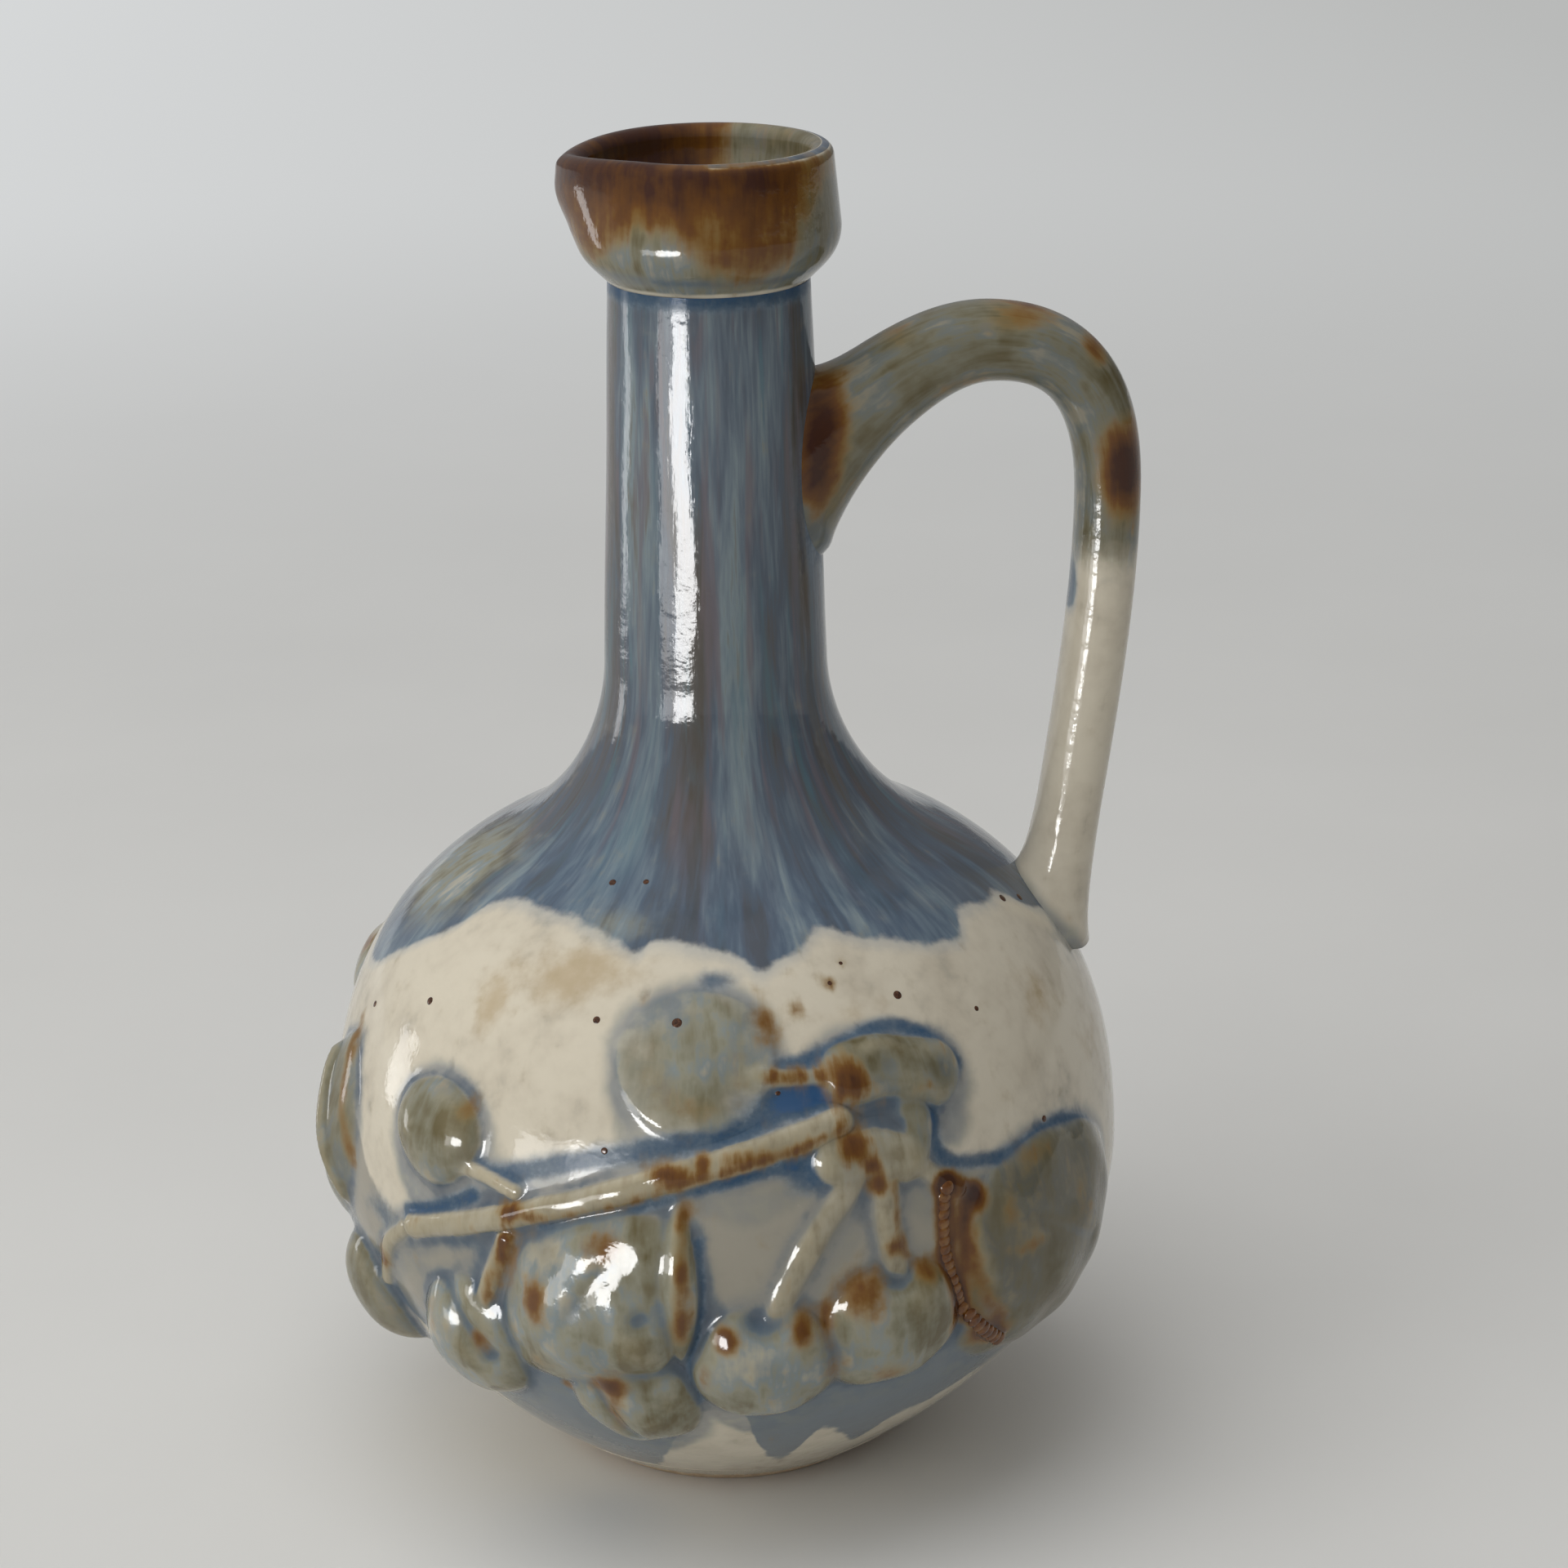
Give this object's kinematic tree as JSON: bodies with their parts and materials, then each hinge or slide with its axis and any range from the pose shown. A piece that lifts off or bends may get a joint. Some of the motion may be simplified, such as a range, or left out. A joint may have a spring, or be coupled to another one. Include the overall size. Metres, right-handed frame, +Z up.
{
  "type": "earthenware carafe",
  "caption": "Round-bellied earthenware carafe with a long neck, collared mouth with a pouring lip, loop handle and a fruiting branch in relief, for holding and pouring drink.",
  "frame": {"origin": "middle of the flat underside", "axes": "+Z up along the neck, +X towards the handle, -X towards the pouring lip"},
  "size_m": [0.1572, 0.1561, 0.2515],
  "materials": {
    "bare_clay": "unglazed buff clay",
    "cream_glaze": "glossy cream glaze",
    "blue_glaze": "glossy streaked blue-grey drip glaze",
    "brown_glaze": "glossy amber-brown glaze",
    "olive_glaze": "glossy grey-olive glaze with cream edges",
    "branch_glaze": "glossy cream glaze with amber patches"
  },
  "bodies": {
    "root": {"base": "bare_clay", "lower_bowl": "cream_glaze", "shoulder": "blue_glaze", "throat": "blue_glaze", "neck": "blue_glaze", "collar": "brown_glaze", "handle": "cream_glaze", "fruit_top": "olive_glaze", "fruit_upper_left": "olive_glaze", "fruit_far_left": "olive_glaze", "fruit_lower_left": "olive_glaze", "fruit_bottom": "olive_glaze", "fruit_heart": "olive_glaze", "fruit_round": "olive_glaze", "fruit_back_upper": "olive_glaze", "fruit_back_lower": "olive_glaze", "fruit_back_end": "olive_glaze", "leaf_left": "olive_glaze", "leaf_broad": "olive_glaze", "leaf_folded": "olive_glaze", "leaf_right": "olive_glaze", "leaf_back": "olive_glaze", "main_branch": "branch_glaze", "branch_cut_end": "branch_glaze", "branch_knot": "branch_glaze", "branch_fork": "branch_glaze", "branch_back": "branch_glaze", "twig_left": "branch_glaze", "stem_top": "branch_glaze", "stem_upper_left": "branch_glaze", "stem_lower_left": "branch_glaze", "stem_heart": "branch_glaze", "stem_round": "branch_glaze", "stem_right": "branch_glaze", "stem_back_upper": "branch_glaze", "stem_back_lower": "branch_glaze", "stem_back_end": "branch_glaze"}
  },
  "joints": []
}
